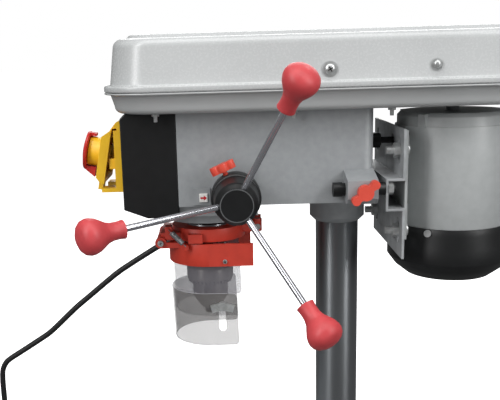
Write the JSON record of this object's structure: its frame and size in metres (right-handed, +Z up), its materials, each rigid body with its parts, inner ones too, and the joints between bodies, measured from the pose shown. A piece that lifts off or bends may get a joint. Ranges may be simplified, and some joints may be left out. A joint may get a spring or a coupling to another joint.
{
  "type": "drill press",
  "caption": "Benchtop drill press with a stepped belt drive, three-handle quill feed, swinging spindle guard, key chuck, tilting table on a round column, and a flap switch.",
  "frame": {"origin": "centre of the four foot bolts at the base's underside", "axes": "+Z up, -X towards the operator at the switch side, +X towards the motor, -Y on the feed handles' side"},
  "size_m": [0.612, 0.3103, 0.5909],
  "materials": {
    "cast_grey": "hammered grey paint on grey iron castings",
    "column_steel": "drawn and turned steel tube",
    "steel": "machined steel",
    "bright": "bright zinc plated steel",
    "chrome": "chromed steel rod",
    "zinc_sheet": "galvanised steel sheet",
    "alloy": "die cast aluminium",
    "black_plastic": "moulded black plastic",
    "black_rubber": "black rubber",
    "cord_black": "black cord sheath",
    "yellow_plastic": "moulded yellow plastic",
    "red_plastic": "moulded red plastic",
    "red_knob": "moulded coral red plastic",
    "red_guard": "moulded red plastic",
    "green_plastic": "moulded green plastic",
    "pan_paint": "grey paint on pressed steel sheet",
    "lid_paint": "light grey gloss paint on pressed steel sheet",
    "clear": "clear polycarbonate"
  },
  "bodies": {
    "stand": {"base_plate": "cast_grey", "column_socket": "cast_grey", "socket_bolts": "bright", "column": "column_steel", "head_casting": "cast_grey", "head_cover": "black_plastic", "head_screws": "bright", "switch_frame": "yellow_plastic", "switch_module": "black_plastic", "cord_gland": "black_plastic", "motor_lead": "black_rubber", "return_spring_cap": "black_plastic", "belt_pan": "pan_paint", "lid_hinges": "bright", "pulley_bearings": "steel", "mains_cord": "cord_black", "cord_coil": "cord_black", "mains_plug": "black_plastic", "v_belt": "black_rubber"},
    "bracket": {"table_bracket": "cast_grey"},
    "table": {"table": "cast_grey", "table_tilt_bolt": "bright"},
    "table_lock": {"table_lock_lever": "black_plastic"},
    "feed": {"feed_shaft": "column_steel", "feed_hub": "black_plastic", "feed_spokes": "chrome", "feed_knobs": "red_knob"},
    "depth_ring": {"depth_ring": "black_plastic"},
    "depth_lock": {"depth_lock_screw": "red_knob"},
    "quill": {"quill": "steel", "quill_bumper": "black_rubber", "quill_bearings": "steel", "guard_collar": "red_guard", "guard_bolts": "bright", "guard_spring": "bright"},
    "spindle": {"spindle": "steel", "chuck_body": "steel"},
    "chuck_sleeve": {"chuck_sleeve": "steel"},
    "jaw_1": {"chuck_jaw_1": "steel"},
    "jaw_2": {"chuck_jaw_2": "steel"},
    "jaw_3": {"chuck_jaw_3": "steel"},
    "pulley": {"spindle_pulley": "steel"},
    "guard": {"guard_carrier": "red_guard", "upper_shield": "clear", "shield_screws": "bright"},
    "lower_shield": {"lower_shield": "clear"},
    "shield_wing": {"shield_wing_bolt": "bright"},
    "belt_lid": {"belt_lid": "lid_paint"},
    "motor": {"motor_body": "alloy", "motor_fan_cover": "black_plastic", "motor_fasteners": "bright", "motor_plate": "zinc_sheet", "slide_rods": "black_plastic"},
    "rotor": {"motor_rotor": "column_steel", "motor_pulley": "steel"},
    "tension_wing": {"tension_wing": "red_knob"},
    "flap": {"switch_flap": "yellow_plastic"},
    "mushroom": {"stop_mushroom": "red_plastic"},
    "start": {"start_button": "green_plastic"},
    "stop": {"stop_button": "red_plastic"}
  },
  "joints": [
    {"name": "table_slide", "type": "slide", "parent": "stand", "child": "bracket", "axis": [0, 0, 1], "range_m": [0, 0.07]},
    {"name": "table_tilt", "type": "hinge", "parent": "bracket", "child": "table", "pos_m": [0.001, 0, 0.088], "axis": [1, 0, 0], "range_deg": [-45, 45]},
    {"name": "table_lock", "type": "hinge", "parent": "bracket", "child": "table_lock", "pos_m": [0.135, 0, 0.088], "axis": [0, 1, 0], "range_deg": [-35, 35]},
    {"name": "feed_turn", "type": "hinge", "parent": "stand", "child": "feed", "pos_m": [-0.02575, 0, 0.4323], "axis": [0, -1, 0], "range_deg": [0, 254.6]},
    {"name": "quill_slide", "type": "slide", "parent": "stand", "child": "quill", "axis": [0, 0, -1], "range_m": [0, 0.05], "stiffness_N_per_m": 400, "springref_m": -0.12},
    {"name": "depth_turn", "type": "hinge", "parent": "feed", "child": "depth_ring", "pos_m": [-0.02575, 0, 0.4323], "axis": [0, -1, 0], "range_deg": [-180, 180]},
    {"name": "depth_lock_turn", "type": "hinge", "parent": "depth_ring", "child": "depth_lock", "pos_m": [-0.02575, -0.0821, 0.4323], "axis": [-0.3907, 0, 0.9205], "range_deg": [0, 360]},
    {"name": "motor_spin", "type": "hinge", "parent": "motor", "child": "rotor", "pos_m": [0.2075, 0, 0.42], "axis": [0, 0, 1], "continuous": true},
    {"name": "pulley_spin", "type": "hinge", "parent": "stand", "child": "pulley", "pos_m": [-0.0555, 0, 0.42], "axis": [0, 0, 1], "continuous": true},
    {"name": "spindle_spin", "type": "hinge", "parent": "quill", "child": "spindle", "pos_m": [-0.0555, 0, 0.42], "axis": [0, 0, 1], "continuous": true},
    {"name": "sleeve_turn", "type": "hinge", "parent": "spindle", "child": "chuck_sleeve", "pos_m": [-0.0555, 0, 0.42], "axis": [0, 0, 1], "range_deg": [0, 5400]},
    {"name": "jaw_1_slide", "type": "slide", "parent": "spindle", "child": "jaw_1", "axis": [0.1294, 0.2241, 0.9659], "range_m": [0, 0.01931]},
    {"name": "jaw_2_slide", "type": "slide", "parent": "spindle", "child": "jaw_2", "axis": [-0.2588, 0, 0.9659], "range_m": [0, 0.01931]},
    {"name": "jaw_3_slide", "type": "slide", "parent": "spindle", "child": "jaw_3", "axis": [0.1294, -0.2241, 0.9659], "range_m": [0, 0.01931]},
    {"name": "guard_swing", "type": "hinge", "parent": "quill", "child": "guard", "pos_m": [-0.1065, 0, 0.3756], "axis": [0, 1, 0], "range_deg": [0, 110], "stiffness_Nm_per_rad": 0.3, "springref_deg": -57.3, "deforming": ["guard_spring"]},
    {"name": "lower_shield_slide", "type": "slide", "parent": "guard", "child": "lower_shield", "axis": [0, 0, 1], "range_m": [0, 0.026]},
    {"name": "shield_wing_turn", "type": "hinge", "parent": "guard", "child": "shield_wing", "pos_m": [-0.0425, -0.043, 0.308], "axis": [0, -1, 0], "range_deg": [0, 360]},
    {"name": "lid_open", "type": "hinge", "parent": "stand", "child": "belt_lid", "pos_m": [0.085, 0.0995, 0.536], "axis": [-1, 0, 0], "range_deg": [0, 85]},
    {"name": "motor_shift", "type": "slide", "parent": "stand", "child": "motor", "axis": [1, 0, 0], "range_m": [-0.008, 0]},
    {"name": "tension_turn", "type": "hinge", "parent": "stand", "child": "tension_wing", "pos_m": [0.0995, -0.088, 0.435], "axis": [0, -1, 0], "range_deg": [0, 180]},
    {"name": "flap_swing", "type": "hinge", "parent": "stand", "child": "flap", "pos_m": [-0.145, 0, 0.5018], "axis": [0, 1, 0], "range_deg": [-10.8, 78]},
    {"name": "mushroom_press", "type": "slide", "parent": "flap", "child": "mushroom", "axis": [0.9823, 0, -0.1874], "range_m": [0, 0.003], "stiffness_N_per_m": 600, "springref_m": -0.001},
    {"name": "start_press", "type": "slide", "parent": "stand", "child": "start", "axis": [1, 0, 0], "range_m": [0, 0.004], "stiffness_N_per_m": 500, "springref_m": -0.001},
    {"name": "stop_press", "type": "slide", "parent": "stand", "child": "stop", "axis": [1, 0, 0], "range_m": [0, 0.004], "stiffness_N_per_m": 500, "springref_m": -0.001}
  ],
  "couplings": [
    {"joint": "feed_turn", "follows": "quill_slide", "rad_per_m": 88.889},
    {"joint": "pulley_spin", "follows": "motor_spin", "ratio": 0.6875},
    {"joint": "spindle_spin", "follows": "motor_spin", "ratio": 0.6875},
    {"joint": "jaw_1_slide", "follows": "sleeve_turn", "m_per_rad": 0.00020488},
    {"joint": "jaw_2_slide", "follows": "sleeve_turn", "m_per_rad": 0.00020488},
    {"joint": "jaw_3_slide", "follows": "sleeve_turn", "m_per_rad": 0.00020488}
  ]
}
